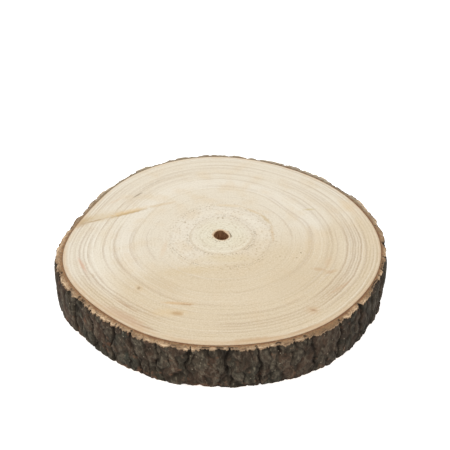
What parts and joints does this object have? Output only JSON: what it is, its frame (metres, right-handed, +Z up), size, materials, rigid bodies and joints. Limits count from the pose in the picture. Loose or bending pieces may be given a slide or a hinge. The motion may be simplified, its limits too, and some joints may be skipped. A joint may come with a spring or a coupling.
{
  "type": "wood slice",
  "caption": "Round slice of a tree trunk, sawn flat on both faces, with growth rings, a hollow pith and rough dark bark all round.",
  "frame": {"origin": "centre of the slice's bounding box, on the surface it lies on", "axes": "+Z up, square to the sawn faces; +Y towards the back of the slice, which is the side away from the viewer in the picture; +X to the viewer's right"},
  "size_m": [0.2832, 0.2835, 0.04],
  "materials": {
    "sawn_wood": "bare, fine-sawn and dry, matte",
    "weathered_bark": "rough, fissured bark, matte"
  },
  "bodies": {
    "root": {"wood": "sawn_wood", "bark": "weathered_bark"}
  },
  "joints": []
}
